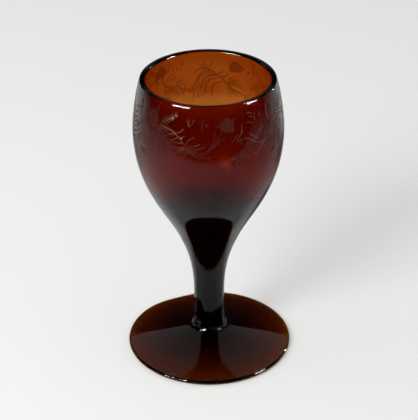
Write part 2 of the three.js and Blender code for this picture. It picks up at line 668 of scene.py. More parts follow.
    def open_blossom(self, height: float) -> None:
        """Cuts a blossom in line: petals as short strokes round an uncut heart, and a hatched foot.

        Args:
            height: Height of its middle.
        """
        for angle in range(-40, 221, 26):
            across, rise = math.cos(math.radians(angle)), math.sin(math.radians(angle))
            self.leaf((1.1 * across, height + 1.3 * rise), (2.7 * across, height + 3.2 * rise),
                      bend=0.14, width=0.4)
        self.hatch((-1.6, height - 2.2), (1.8, height - 2.0), (0.2, -1.4), 4)

    def bud(self, top: Point, base: Point) -> None:
        """Cuts a bud on its stalk, from its tip down to where the stalk grows.

        Args:
            top: Its tip.
            base: Where the stalk grows.
        """
        heart = (top[0] - 0.4, top[1] - 2.8)
        self.leaf(heart, top, bend=0.05, width=0.4)
        self.leaf((heart[0], heart[1] - 0.8), (heart[0] + 0.1, heart[1] + 0.9), bend=0.0, width=0.8)
        self.stem(heart, ((heart[0] + base[0]) / 2 + 0.2, (heart[1] + base[1]) / 2), base, width=0.4)

    def tuft(self, base: Point) -> None:
        """Cuts a tuft of small upright leaves below the garland.

        Args:
            base: Where it grows.
        """
        leaves = (((0.0, 0.4), (-0.5, 3.2)), ((1.2, 2.4), (2.2, 4.8)), ((2.4, 0.9), (3.9, 5.4)),
                  ((3.4, 0.4), (4.9, 3.9)), ((4.8, -0.5), (6.0, 3.0)), ((1.3, -0.2), (1.6, 1.4)))
        for (x, rise), (tip_x, tip_rise) in leaves:
            self.leaf((base[0] + x, base[1] + rise), (base[0] + tip_x, base[1] + tip_rise),
                      bend=-0.12, width=0.85)


class Motif(Enum):
    """What hangs along a stretch of the festoon."""

    FERN = "a stem with ferns, a leafy joint and a forked twig"
    BUD = "a bud, a tuft of leaves and a hanging stem"
    GARLAND = "a thick stem with arching leaves and fern on both sides"
    CLUSTER = "ferns and leaves close together"
    FULL_BLOSSOM = "a blossom with a matt cup"
    OPEN_BLOSSOM = "a blossom cut in line"


@dataclass(frozen=True)
class Hanging:
    """One motif in its place round the bowl, mirrored where its span is negative.

    A span other than the one it was drawn for stretches it round the bowl, and boldness widens and deepens
    its cuts.
    """

    motif: Motif
    azimuth: float
    span: float = 57.0
    boldness: float = 1.0


@dataclass(frozen=True)
class Festoon:
    """The festoon round the upper bowl: blossoms joined by hanging sprays of fern and leaf."""

    radius: float = 28.3
    hangings: tuple[Hanging, ...] = (
        Hanging(Motif.OPEN_BLOSSOM, -47.0, boldness=1.3),
        Hanging(Motif.FERN, -43.0, boldness=1.2),
        Hanging(Motif.FULL_BLOSSOM, 13.0),
        Hanging(Motif.BUD, 14.0, 48.0, 1.25),
        Hanging(Motif.OPEN_BLOSSOM, 63.0, boldness=1.4),
        Hanging(Motif.FERN, 64.0, 60.0, 1.4),
        Hanging(Motif.CLUSTER, -66.0, boldness=1.7),
        Hanging(Motif.CLUSTER, 67.0, boldness=1.7),
        Hanging(Motif.FULL_BLOSSOM, 154.0, 68.0, 1.3),
        Hanging(Motif.GARLAND, 184.0, boldness=2.0),
        Hanging(Motif.FULL_BLOSSOM, 223.0, 68.0, 1.3),
        Hanging(Motif.FERN, 226.0, 50.0, 1.3),
        Hanging(Motif.OPEN_BLOSSOM, 272.0),
        Hanging(Motif.BUD, 270.0, 47.0),
        Hanging(Motif.CLUSTER, 135.0, boldness=1.4),
        Hanging(Motif.CLUSTER, 206.0, -57.0, 1.3))
    drawn_span: float = 57.0
    full_blossom_height: float = 111.1
    open_blossom_height: float = 110.6
    seed: int = 11

    def draw(self, band: EngravedBand) -> None:
        """Cuts the whole festoon into a band of the bowl.

        Args:
            band: The band.
        """
        chance = np.random.default_rng(self.seed)
        per_degree = math.radians(1.0) * self.radius
        for hanging in self.hangings:
            spray = Spray(hanging.azimuth * per_degree, hanging.span / self.drawn_span, chance,
                          hanging.boldness)
            self.draw_motif(hanging.motif, spray)
            for patch in spray.patches:
                band.matt_field(patch)
            for stroke in spray.cuts:
                band.cut(stroke)

    def draw_motif(self, motif: Motif, spray: Spray) -> None:
        """Draws one motif into an empty spray.

        Args:
            motif: The motif.
            spray: Where it is drawn.
        """
        match motif:
            case Motif.FERN:
                self.fern_spray(spray)
            case Motif.BUD:
                self.bud_spray(spray)
            case Motif.GARLAND:
                self.garland_spray(spray)
            case Motif.CLUSTER:
                self.fern_cluster(spray)
            case Motif.FULL_BLOSSOM:
                spray.full_blossom(self.full_blossom_height)
            case Motif.OPEN_BLOSSOM:
                spray.open_blossom(self.open_blossom_height)

    @staticmethod
    def fern_spray(spray: Spray) -> None:
        """Draws the fuller spray: ferns, a leafy joint, a forked twig and small sprigs above.

        Args:
            spray: Where it is drawn.
        """
        spray.stem((1.6, 108.9), (5.1, 108.5), (8.4, 107.2), (10.6, 105.3), (12.2, 103.5), width=0.6)
        spray.frond((2.3, 110.0), (9.2, 114.5), 5, 2.1, 0.34)
        spray.leaf((2.4, 107.6), (5.6, 107.0), 0.1, 0.4)
        spray.leaf((8.6, 107.6), (11.6, 109.2), -0.15, 0.5, Taper.DROP)
        spray.leaf((10.0, 106.1), (12.6, 106.8), -0.12, 0.4)
        spray.leaf((8.5, 106.6), (5.6, 106.3), -0.1, 0.4)
        spray.leaf((9.4, 105.9), (6.5, 104.3), 0.1, 0.42)
        spray.leaf((11.8, 104.0), (6.6, 103.8), 0.05, 0.42)
        spray.leaf((13.0, 103.9), (16.3, 106.7), 0.12, 0.42)
        spray.leaf((12.8, 103.4), (17.9, 104.1), -0.14, 0.62, Taper.DROP)
        spray.leaf((13.4, 102.7), (19.3, 103.0), -0.16, 0.66, Taper.DROP)
        spray.leaf((13.8, 101.9), (20.2, 101.2), -0.1, 0.42)
        spray.fan((12.6, 102.9), ((7.2, 102.6), (7.5, 100.8), (8.4, 99.6), (10.0, 98.6)), 0.14, 0.42)
        spray.fan((12.9, 102.2), ((11.8, 98.0), (13.9, 98.3)), 0.08, 0.4)
        spray.stem((13.2, 102.6), (14.8, 100.2), (17.4, 98.9), (20.4, 98.6), (23.8, 99.4), width=0.5)
        spray.leaf((20.6, 98.7), (22.6, 97.6), 0.1, 0.36)
        spray.stem((14.2, 101.0), (18.0, 100.0), (21.0, 101.2), width=0.42)
        spray.leaf((20.6, 101.0), (23.9, 108.8), -0.09, 0.46)
        spray.leaf((21.0, 101.4), (26.4, 108.7), -0.05, 0.46)
        spray.leaf((21.2, 101.0), (27.5, 106.7), 0.04, 0.46)
        for tip, bend in (((12.8, 113.2), 0.05), ((13.8, 113.4), 0.0), ((16.0, 113.8), -0.08)):
            spray.leaf((14.0, 110.2), tip, bend, 0.22)
        spray.leaf((18.9, 109.2), (19.2, 113.4), 0.02, 0.24)
        spray.fan((-1.4, 108.6), ((-4.2, 111.6), (-2.4, 113.0), (-0.6, 112.4)), -0.16, 0.36)
        spray.fan((2.0, 108.4), ((-1.6, 107.4), (-0.8, 105.8), (1.0, 104.8)), 0.18, 0.36)
        spray.curl((20.6, 111.2))
        spray.hatch((-6.2, 94.8), (-1.2, 97.4), (0.6, 2.2), 5)
        spray.hatch((-11.5, 97.0), (-7.0, 101.5), (-1.6, 1.6), 7, 0.42)
        spray.hatch((-12.0, 102.5), (-8.0, 106.5), (-1.8, 1.2), 6, 0.42)
        spray.stem((-5.5, 108.8), (-5.7, 112.4), (-5.3, 115.6), width=0.4)
        spray.leaf((-0.2, 112.6), (0.1, 115.6), 0.08, 0.42)

    @staticmethod
    def garland_spray(spray: Spray) -> None:
        """Draws the fullest spray: a thick stem, arching leaves, and fern on both sides of its joint.

        Args:
            spray: Where it is drawn.
        """
        spray.stem((0.6, 109.6), (-2.6, 108.6), (-5.6, 106.6), (-8.3, 104.2), (-9.9, 101.8), width=0.62)
        spray.fan((-1.6, 109.2), ((-3.2, 112.6), (0.2, 112.0), (2.0, 111.0)), 0.16, 0.42)
        spray.leaf((-3.6, 107.9), (2.6, 105.0), 0.2, 0.48)
        spray.leaf((-4.6, 107.2), (3.4, 101.8), 0.24, 0.5)
        spray.leaf((-6.2, 106.2), (1.2, 99.6), 0.26, 0.5)
        spray.leaf((-7.2, 105.2), (-0.6, 97.8), 0.28, 0.52)
        spray.leaf((-8.4, 103.8), (-3.6, 96.6), 0.28, 0.46)
        spray.leaf((-2.2, 108.7), (4.4, 107.2), 0.16, 0.44)
        spray.leaf((-5.4, 106.6), (0.2, 102.6), 0.2, 0.4)
        spray.leaf((-5.0, 106.8), (-8.6, 109.0), 0.16, 0.44)
        spray.leaf((-6.6, 105.6), (-10.6, 107.6), 0.2, 0.46)
        spray.fan((-9.7, 102.0), ((-13.4, 106.4), (-14.9, 104.9), (-16.2, 103.2), (-16.6, 101.2)),
                  -0.16, 0.46)
        spray.fan((-10.4, 101.4), ((-15.2, 99.4), (-14.0, 97.6), (-11.6, 96.6)), 0.2, 0.44)
        spray.stem((-9.9, 101.8), (-13.0, 99.8), (-17.4, 98.4), (-20.6, 100.0), width=0.44)
        spray.fan((-17.0, 98.6), ((-18.6, 96.2), (-20.2, 97.6)), 0.16, 0.4)
        spray.hatch((-20.2, 101.6), (-24.2, 104.0), (-0.4, 2.4), 4)
        spray.leaf((-19.2, 109.2), (-20.6, 110.4), 0.1, 0.6)
        spray.fan((7.0, 100.0), ((2.6, 103.4), (1.8, 101.6), (2.4, 99.4)), 0.2, 0.36)
        spray.hatch((0.2, 95.6), (3.6, 96.0), (0.4, 2.4), 3, 0.34)
        spray.fan((8.2, 97.8), ((9.8, 102.4), (7.6, 102.6)), 0.1, 0.42)
        spray.stem((18.8, 109.4), (18.2, 106.4), (16.6, 104.0), (11.8, 102.4), (7.4, 103.4), width=0.44)
        spray.frond((17.6, 102.2), (7.6, 99.4), 7, 2.6, 0.36)
        spray.frond((21.0, 100.8), (12.6, 96.4), 5, 2.2, 0.34)
        spray.hatch((11.4, 109.6), (15.0, 112.0), (0.5, 1.6), 3, 0.34)

    @staticmethod
    def fern_cluster(spray: Spray) -> None:
        """Draws ferns and leaves close together, where the garland is fullest.

        Args:
            spray: Where it is drawn.
        """
        for rise in range(6):
            spray.leaf((-6.2, 95.4 + 1.9 * rise), (-1.4, 98.6 + 2.0 * rise), 0.14, 0.5)
        for rise in range(4):
            spray.leaf((-1.2, 96.0 + 2.1 * rise), (2.6, 99.0 + 2.0 * rise), 0.16, 0.42)
        spray.hatch((-3.2, 109.6), (0.8, 110.4), (1.2, 1.8), 3, 0.4)
        spray.hatch((2.4, 94.6), (6.6, 94.0), (0.8, 3.0), 5, 0.42)
        spray.leaf((1.6, 109.0), (1.2, 115.0), 0.06, 0.5)

    @staticmethod
    def bud_spray(spray: Spray) -> None:
        """Draws the lighter spray: a bud, a tuft of leaves, hatching and a hanging stem.

        Args:
            spray: Where it is drawn.
        """
        spray.bud((7.4, 110.6), (3.9, 104.0))
        spray.tuft((2.6, 94.6))
        spray.curl((6.3, 103.1), 0.6)
        spray.hatch((1.9, 103.9), (3.8, 105.6), (1.3, 1.0), 3, 0.36)
        fine = {"width": 0.2, "depth": 0.03}
        for x, z, length in ((10.0, 114.2, 2.9), (11.1, 112.6, 2.3), (9.4, 110.9, 2.2), (11.6, 110.2, 1.6)):
            spray.line((x, z), (x + length, z - 0.6), **fine)
        spray.line((14.1, 110.5), (14.5, 114.0), **fine)
        spray.line((17.0, 111.0), (17.3, 113.4), **fine)
        spray.leaf((10.0, 104.6), (15.3, 102.0), -0.05, 0.5)
        spray.leaf((10.6, 106.5), (15.9, 103.6), -0.05, 0.46)
        spray.leaf((9.4, 103.0), (11.2, 99.6), 0.1, 0.4)
        spray.stem((4.6, 104.2), (9.6, 104.6), (14.8, 102.2), (19.2, 101.4), (24.6, 103.4), width=0.42)
        spray.fan((17.0, 102.0), ((14.6, 98.8), (16.6, 98.0), (19.0, 98.4)), 0.1, 0.4)
        spray.hatch((18.6, 103.4), (24.0, 101.6), (1.8, 1.8), 5, 0.4)
        spray.hatch((24.4, 97.4), (28.6, 99.6), (1.4, -1.8), 5, 0.42)
        spray.hatch((24.0, 104.6), (28.6, 103.0), (1.6, -1.6), 5, 0.42)


# Shader nodes

class Socket:
    """A value in a node tree. Arithmetic on it adds the nodes that work it out."""

    def __init__(self, tree: "ShaderTree", socket: bpy.types.NodeSocket) -> None:
        """Wraps an output socket of a tree."""
        self.tree = tree
        self.socket = socket

    def __add__(self, other: SocketValue) -> "Socket":
        """Returns the sum."""
        return self.tree.math("ADD", self, other)

    __radd__ = __add__

    def __mul__(self, other: SocketValue) -> "Socket":
        """Returns the product."""
        return self.tree.math("MULTIPLY", self, other)

    __rmul__ = __mul__

    def __sub__(self, other: SocketValue) -> "Socket":
        """Returns the difference."""
        return self.tree.math("SUBTRACT", self, other)

    def __rsub__(self, other: SocketValue) -> "Socket":
        """Returns the difference from another value."""
        return self.tree.math("SUBTRACT", other, self)

    def __abs__(self) -> "Socket":
        """Returns the value without its sign."""
        return self.tree.math("ABSOLUTE", self)

    def larger(self, other: SocketValue) -> "Socket":
        """Returns the larger of this value and another."""
        return self.tree.math("MAXIMUM", self, other)

    def from_to(self, low: float, high: float, start: float = 0.0, end: float = 1.0) -> "Socket":
        """Moves smoothly from one value to another as this one goes from low to high.

        Args:
            low: Value at which the change begins.
            high: Value at which it ends.
            start: Result up to low.
            end: Result from high.

        Returns:
            The result.
        """
        node = self.tree.node("ShaderNodeMapRange", {"interpolation_type": "SMOOTHSTEP", "clamp": True}, {
            "Value": self, "From Min": low, "From Max": high, "To Min": start, "To Max": end})
        return self.tree.out(node, "Result")


class ShaderTree:
    """The nodes of one material or of the world."""

    def __init__(self, owner: bpy.types.Material | bpy.types.World) -> None:
        """Empties the tree of a material or world.

        Args:
            owner: The material or world.
        """
        owner.use_nodes = True
        self.tree = owner.node_tree
        self.tree.nodes.clear()

    def node(self, kind: str, settings: dict[str, object] | None = None,
             inputs: dict[str | int, SocketValue] | None = None) -> bpy.types.Node:
        """Adds a node.

        Args:
            kind: Its type.
            settings: Its settings, which are made first.
            inputs: A value or link for each named or numbered socket.

        Returns:
            The node.
        """
        made = self.tree.nodes.new(kind)
        for name, value in (settings or {}).items():
            setattr(made, name, value)
        for name, value in (inputs or {}).items():
            if isinstance(value, Socket):
                self.tree.links.new(value.socket, made.inputs[name])
            elif isinstance(value, bpy.types.NodeSocket):
                self.tree.links.new(value, made.inputs[name])
            else:
                made.inputs[name].default_value = value
        return made

    def out(self, node: bpy.types.Node, name: str | int) -> Socket:
        """Returns an output socket of a node."""
        return Socket(self, node.outputs[name])

    def math(self, operation: str, *values: SocketValue) -> Socket:
        """Returns the result of a Math node on the given values."""
        return self.out(self.node("ShaderNodeMath", {"operation": operation}, dict(enumerate(values))), 0)

    def object_place(self) -> Socket:
        """Returns the place on the object, in metres."""
        return self.out(self.node("ShaderNodeTexCoord"), "Object")

    def along(self, axis: str) -> Socket:
        """Returns the place on the object along one axis, in metres."""
        return self.out(self.node("ShaderNodeSeparateXYZ", inputs={0: self.object_place()}), axis)

    def noise(self, scale: float, detail: float = 2.0, roughness: float = 0.5) -> Socket:
        """Returns soft noise from 0 to 1.

        Args:
            scale: Number of its blots to a metre.
            detail: Number of finer layers.
            roughness: Strength of the finer layers.

        Returns:
            The noise.
        """
        node = self.node("ShaderNodeTexNoise", {"noise_dimensions": "3D"}, {
            "Vector": self.object_place(), "Scale": scale, "Detail": detail, "Roughness": roughness})
        return self.out(node, "Fac")

    def mixed_colour(self, share: Socket, first: Colour, second: Colour) -> Socket:
        """Mixes two colours.

        Args:
            share: How much of the second colour there is, from 0 to 1.
            first: The first colour.
            second: The second colour.

        Returns:
            The mixed colour.
        """
        node = self.node("ShaderNodeMix", {"data_type": "RGBA", "clamp_factor": True}, {
            0: share, 6: (*first, 1.0), 7: (*second, 1.0)})
        return self.out(node, 2)

    def attribute(self, name: str) -> Socket:
        """Returns a value that is kept with the points of the mesh."""
        node = self.node("ShaderNodeAttribute", {"attribute_type": "GEOMETRY", "attribute_name": name})
        return self.out(node, "Fac")


# Finishes

@dataclass(frozen=True)
class GlassFinish:
    """Fire-polished glass of deep amber red, matt where the wheel or the table has worn it.

    Scales are numbers of blots to a metre, depths and heights are in metres, and levels are those of the
    noise between which smudges or scuffs appear.
    """

    name: str
    clear_roughness: float = 0.012
    smudge_roughness: float = 0.03
    smudge_scale: float = 70.0
    smudge_levels: Range = (0.45, 0.7)
    matt_roughness: float = 0.5
    grain_scale: float = 5200.0
    grain_depth: float = 0.00004
    wave_scale: float = 55.0
    wave_depth: float = 0.00006
    foot_wear: float = 0.0
    wear_heights: Range = (0.00035, 0.00005)
    scuff_scale: float = 900.0
    scuff_levels: Range = (0.45, 0.6)
    refraction: float = 1.47
    clear_colour: Colour = (1.0, 1.0, 1.0)
    clear_gloss: Colour = (0.42, 0.42, 0.42)
    engraved_colour: Colour = (0.36, 0.22, 0.16)
    engraved_gloss: Colour = (0.4, 0.16, 0.09)
    tint: Colour = (0.795, 0.484, 0.009)
    tint_density: float = 2300.0

    def matt_share(self, tree: ShaderTree) -> Socket:
        """Works out how matt the surface is: where it is engraved, and under a worn foot.

        Args:
            tree: The material's nodes.

        Returns:
            The share, from 0 for polished glass.
        """
        engraved = tree.attribute(ENGRAVED)
        if self.foot_wear == 0.0:
            return engraved
        scuffs = tree.noise(self.scuff_scale, detail=4.0, roughness=0.7).from_to(*self.scuff_levels)
        return engraved + tree.along("Z").from_to(*self.wear_heights) * scuffs * self.foot_wear

    def material(self) -> bpy.types.Material:
        """Makes the material: polished glass, engraved grain, faint waves and an absorbing body.

        Returns:
            The material.
        """
        material = bpy.data.materials.new(self.name)
        tree = ShaderTree(material)
        matt = self.matt_share(tree)
        smudges = tree.noise(self.smudge_scale, detail=3.0).from_to(*self.smudge_levels)
        roughness = self.clear_roughness + smudges * self.smudge_roughness + matt * self.matt_roughness
        waves = tree.noise(self.wave_scale, detail=1.0) * self.wave_depth
        grain = tree.noise(self.grain_scale, detail=2.0) * matt * self.grain_depth
        bump = tree.node("ShaderNodeBump", inputs={
            "Strength": 1.0, "Distance": 1.0, "Height": waves + grain})
        colour = tree.mixed_colour(matt, self.clear_colour, self.engraved_colour)
        clear, engraved = (tree.node("ShaderNodeBsdfPrincipled", inputs={
            "Base Color": colour, "Roughness": roughness, "IOR": self.refraction,
            "Transmission Weight": 1.0, "Specular Tint": (*gloss, 1.0),
            "Normal": tree.out(bump, "Normal")}) for gloss in (self.clear_gloss, self.engraved_gloss))
        glass = tree.node("ShaderNodeMixShader", inputs={
            0: matt, 1: clear.outputs["BSDF"], 2: engraved.outputs["BSDF"]})
        body = tree.node("ShaderNodeVolumeAbsorption", inputs={
            "Color": (*self.tint, 1.0), "Density": self.tint_density})
        tree.node("ShaderNodeOutputMaterial", inputs={
            "Surface": glass.outputs["Shader"], "Volume": body.outputs["Volume"]})
        return material


@dataclass(frozen=True)
class StudioFinish:
    """A plain, even surface of the studio: paper, or a card that reflects or gives light."""

    name: str
    colour: Colour
    glow: float = 0.0
    roughness: float = 0.9
    sheen: float = 0.1

    def material(self) -> bpy.types.Material:
        """Makes the material.

        Returns:
            The material.
        """
        material = bpy.data.materials.new(self.name)
        tree = ShaderTree(material)
        if self.glow > 0:
            surface = tree.node("ShaderNodeEmission", inputs={
                "Color": (*self.colour, 1.0), "Strength": self.glow}).outputs["Emission"]
        else:
            surface = tree.node("ShaderNodeBsdfPrincipled", inputs={
                "Base Color": (*self.colour, 1.0), "Roughness": self.roughness,
                "Specular IOR Level": self.sheen}).outputs["BSDF"]
        tree.node("ShaderNodeOutputMaterial", inputs={"Surface": surface})
        return material


@dataclass(frozen=True)
class DuskFinish:
    """Painted shade over the floor, which only the glass's reflections show: the floor darkens away from
    the glass, with painted shadows beside the foot and behind the glass.

    Places are in metres, X to the camera's right and Y away from the camera, with the glass in the middle.
    A range gives where a change begins and where it ends, and a share gives how black the floor turns.

    Attributes:
        middle: Where the light strip through the glass has its middle, along X.
        sides: Distances from the middle at which the near share turns to the side share.
        pale: Distances behind the glass at which that darkening fades out.
        far: Distances from the middle at which the floor darkens again.
        left: Places between which a darkening of the far left fades out, along X.
        behind: Distances at which a painted shadow behind the glass begins.
        behind_sides: Distances to the sides at which that place ends.
        front: Where the floor turns black in front of the glass.
        foot_reach: Distances from the axis at which the darkening begins, round the foot.
        right_place: Middle of a painted shadow of the glass, behind it on its right.
        right_reach: Squared distances from it at which it ends.
        beside: Distance from the axis of the two painted shadows beside the foot.
        beside_reach: Squared distances from their middles at which they end.
    """

    name: str
    middle: float = -0.09
    sides: Range = (0.08, 0.3)
    near_share: float = 0.17
    side_share: float = 0.52
    pale: Range = (0.1, 0.2)
    far: Range = (0.4, 0.8)
    far_share: float = 0.45
    left: Range = (-0.6, -0.35)
    left_share: float = 0.4
    behind: Range = (0.03, 0.14)
    behind_sides: Range = (0.12, 0.17)
    behind_share: float = 0.55
    front: Range = (-0.16, -0.235)
    foot_reach: Range = (0.0322, 0.033)
    right_place: Point = (0.044, 0.068)
    right_reach: Range = (0.0002, 0.0012)
    right_share: float = 0.42
    beside: float = 0.037
    beside_reach: Range = (0.00003, 0.00025)
    beside_share: float = 0.45

    @staticmethod
    def squared_distance(across: Socket, away: Socket, place: Point) -> Socket:
        """Returns the squared distance of a point of the floor from a place."""
        aside, beyond = across - place[0], away - place[1]
        return aside * aside + beyond * beyond

    def blackness(self, tree: ShaderTree) -> Socket:
        """Works out how black the painted shade makes the floor.

        Args:
            tree: The material's nodes.

        Returns:
            The share of black.
        """
        across, away = tree.along("X"), tree.along("Y")
        aside = abs(across - self.middle)
        behind = abs(across).from_to(*self.behind_sides, self.behind_share, 0.0)
        from_right = self.squared_distance(across, away, self.right_place)
        from_foot = self.squared_distance(abs(across), away, (self.beside, 0.0))
        share = (aside.from_to(*self.sides, self.near_share, self.side_share)
                 * away.from_to(*self.pale, 1.0, 0.0)
                 + aside.from_to(*self.far, 0.0, self.far_share)
                 + across.from_to(*self.left, self.left_share, 0.0)
                 + behind * away.from_to(*self.behind)
                 + from_right.from_to(*self.right_reach, self.right_share, 0.0))
        share = share.larger(away.from_to(*self.front))
        share = share.larger(from_foot.from_to(*self.beside_reach, self.beside_share, 0.0))
        reach = tree.node("ShaderNodeVectorMath", {"operation": "LENGTH"}, {0: tree.object_place()})
        return share * tree.out(reach, "Value").from_to(*self.foot_reach)

    def material(self) -> bpy.types.Material:
        """Makes the material: black where shade and shadow are painted, and see-through elsewhere.

        Returns:
            The material.
        """
        material = bpy.data.materials.new(self.name)
        tree = ShaderTree(material)
        clear = tree.node("ShaderNodeBsdfTransparent")
        black = tree.node("ShaderNodeBsdfDiffuse", inputs={"Color": (0.0, 0.0, 0.0, 1.0)})
        mixed = tree.node("ShaderNodeMixShader", inputs={
            0: self.blackness(tree), 1: clear.outputs["BSDF"], 2: black.outputs["BSDF"]})
        tree.node("ShaderNodeOutputMaterial", inputs={"Surface": mixed.outputs["Shader"]})
        return material


# The glass

@dataclass
class GlassPiece:
    """One of the pieces that the glass maker joins hot."""

    hand: HandWork
    columns: int = 192
    finish: GlassFinish = GlassFinish("amber_red_glass")

    def dress(self, piece: bpy.types.Object, node: str, slot: str) -> bpy.types.Object:
        """Gives a piece its glass and puts it in the frame in place of its solid.

        Args:
            piece: The piece.
            node: The solid that it stands for.
            slot: Not used.

        Returns:
            The piece.
        """
        piece.data.materials.append(self.finish.material())
        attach(piece, "root")
        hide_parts(node)
        return piece


@dataclass
class Foot(GlassPiece):
    """The foot: a low cone with a rounded edge, hollow underneath, resting on a ring.

    Its edges are crisp where the creased stretches of the half section end.
    """

    # The foot's tint lets through more green and blue than the bowl's: painted light that brightens the
    # foot's glass.
    finish: GlassFinish = GlassFinish("foot_amber_red_glass", foot_wear=0.6, tint=(0.809, 0.68, 0.25),
                                      tint_density=2450.0)
    height: float = 9.2
    joint_diameter: float = 13.0
    joint_lean: float = 2.5
    diameter: float = 65.6
    edge_thickness: float = 2.0
    edge_slope: float = 12.5
    hub_slope: float = 16.5
    hub_fillet: float = 1.9
    ring_width: float = 3.2
    ring_slope: float = 5.5
    hollow_height: float = 1.9
    hollow_slope: float = 4.5
    ground_diameter: float = 14.0
    ground_depth: float = 0.9
    surface_pull: float = 0.3
    flat_azimuth: float = 203.0
    flat_depth: float = 1.2
    flat_spread: float = 18.0
    ground_steps: int = 14
    hollow_steps: int = 30
    round_steps: int = 8
    surface_steps: int = 44
    creased_stretches: tuple[int, ...] = (0, 1, 2, 6)

    def section(self) -> list[np.ndarray]:
        """Works out the half section, from under the foot to the top of the hub.

        Returns:
            The points of each stretch, one row each.
        """
        edge_round = self.edge_thickness / 2
        edge = (self.diameter / 2 - edge_round, edge_round)
        edge_top = step_from(edge, UP - self.edge_slope, edge_round)
        ring_inner = (edge[0] - self.ring_width, 0.0)
        ground_radius = self.ground_diameter / 2
        ground_rim = (ground_radius, self.hollow_height)
        sphere = (ground_radius ** 2 + self.ground_depth ** 2) / (2 * self.ground_depth)
        half_angle = math.degrees(math.asin(ground_radius / sphere))
        joint = (self.joint_diameter / 2, self.height)
        fillet = step_from(joint, self.joint_lean, self.hub_fillet)
        fillet_foot = step_from(fillet, DOWN - self.hub_slope, self.hub_fillet)
        return [
            arc((0.0, self.hollow_height + self.ground_depth - sphere), sphere, UP, UP - half_angle,
                self.ground_steps),
            swept(ground_rim, OUTWARD - self.hollow_slope, self.surface_pull,
                  ring_inner, OUTWARD - self.ring_slope, self.surface_pull, self.hollow_steps),
            np.array([ring_inner, (edge[0], 0.0)]),
            arc(edge, edge_round, DOWN - 360, OUTWARD, self.round_steps),
            arc(edge, edge_round, OUTWARD, UP - self.edge_slope, self.round_steps),
            swept(edge_top, INWARD - self.edge_slope, self.surface_pull,
                  fillet_foot, INWARD - self.hub_slope, self.surface_pull, self.surface_steps),
            arc(fillet, self.hub_fillet, DOWN - self.hub_slope, INWARD + self.joint_lean,
                self.round_steps),
        ]

    def drawn_in(self, radius: float, azimuth: np.ndarray) -> np.ndarray:
        """Returns how far the outline is drawn in at its flatter stretch.

        Args:
            radius: Distance of a ring from the axis.
            azimuth: Azimuths of its points.

        Returns:
            The distance for each point.
        """
        hub = self.joint_diameter / 2 + self.hub_fillet
        share = smooth_share(radius, hub, self.diameter / 2)
        aside = turned_from(azimuth, self.flat_azimuth) / self.flat_spread
        return self.flat_depth * share * np.exp(-aside ** 2)

    def build(self) -> bpy.types.Object:
        """Makes the foot, dressed and in the frame.

        Returns:
            The piece.
        """
        mesh = TurnedMesh("glass_foot", self.hand)
        mesh.pole(self.hollow_height + self.ground_depth)
        for number, stretch in enumerate(self.section()):
            for radius, height in stretch[1:]:
                inset = self.drawn_in(radius, mesh.azimuths(self.columns))
                mesh.ring(radius, height, self.columns, inset)
            if number in self.creased_stretches:
                mesh.crease()
        mesh.pole(self.height)
        return self.dress(mesh.build(), "foot", "foot_glass")


@dataclass
class Stem(GlassPiece):
    """The stem: solid, waisted low down, opening upwards into the bowl.

    A weld gap, too small to see, keeps its ends off the faces of the foot and the bowl.
    """

    finish: GlassFinish = GlassFinish("stem_amber_red_glass", tint_density=4600.0)
    base: float = 9.2
    length: float = 40.8
    foot_joint_diameter: float = 13.0
    foot_joint_lean: float = 2.5
    bowl_joint_diameter: float = 23.1
    bowl_joint_lean: float = 22.4
    waist_diameter: float = 12.1
    waist_height: float = 13.8
    foot_pull: float = 0.3
    waist_lower_pull: float = 0.5
    waist_upper_pull: float = 0.57
    bowl_pull: float = 0.15
    weld_gap: float = 0.015
    straight_azimuth: float = -52.0
    straight_depth: float = 0.3
    straight_start: Range = (0.0, 3.6)
    straight_end: Range = (6.0, 15.5)
    straight_sides: Range = (12.0, 34.0)
    lower_steps: int = 22
    upper_steps: int = 40

    def straightened(self, azimuth: np.ndarray, height: float) -> np.ndarray:
        """Gives how far the stem is drawn in low down on the side where it was worked straighter.

        Args:
            azimuth: Azimuths of a ring's points.
            height: Height of the ring.

        Returns:
            The distance for each point.
        """
        rise = height - self.base
        share = smooth_share(rise, *self.straight_start) * (1.0 - smooth_share(rise, *self.straight_end))
        aside = np.abs(turned_from(azimuth, self.straight_azimuth))
        return self.straight_depth * float(share) * (1.0 - smooth_share(aside, *self.straight_sides))

    def build(self) -> bpy.types.Object:
        """Makes the stem, dressed and in the frame.

        Returns:
            The piece.
        """
        bottom, top = self.base + self.weld_gap, self.base + self.length - self.weld_gap
        foot_joint = (self.foot_joint_diameter / 2, bottom)
        waist = (self.waist_diameter / 2, self.base + self.waist_height)
        bowl_joint = (self.bowl_joint_diameter / 2, top)
        mesh = TurnedMesh("glass_stem", self.hand)
        mesh.pole(bottom)
        mesh.ring(*foot_joint, self.columns)
        mesh.crease()
        stretches = (
            swept(foot_joint, UP + self.foot_joint_lean, self.foot_pull,
                  waist, UP, self.waist_lower_pull, self.lower_steps),
            swept(waist, UP, self.waist_upper_pull,
                  bowl_joint, UP - self.bowl_joint_lean, self.bowl_pull, self.upper_steps))
        for stretch in stretches:
            for radius, height in stretch[1:]:
                inset = self.straightened(mesh.azimuths(self.columns), height)
                mesh.ring(radius, height, self.columns, inset)
        mesh.crease()
        mesh.pole(top)
        return self.dress(mesh.build(), "stem", "stem_glass")


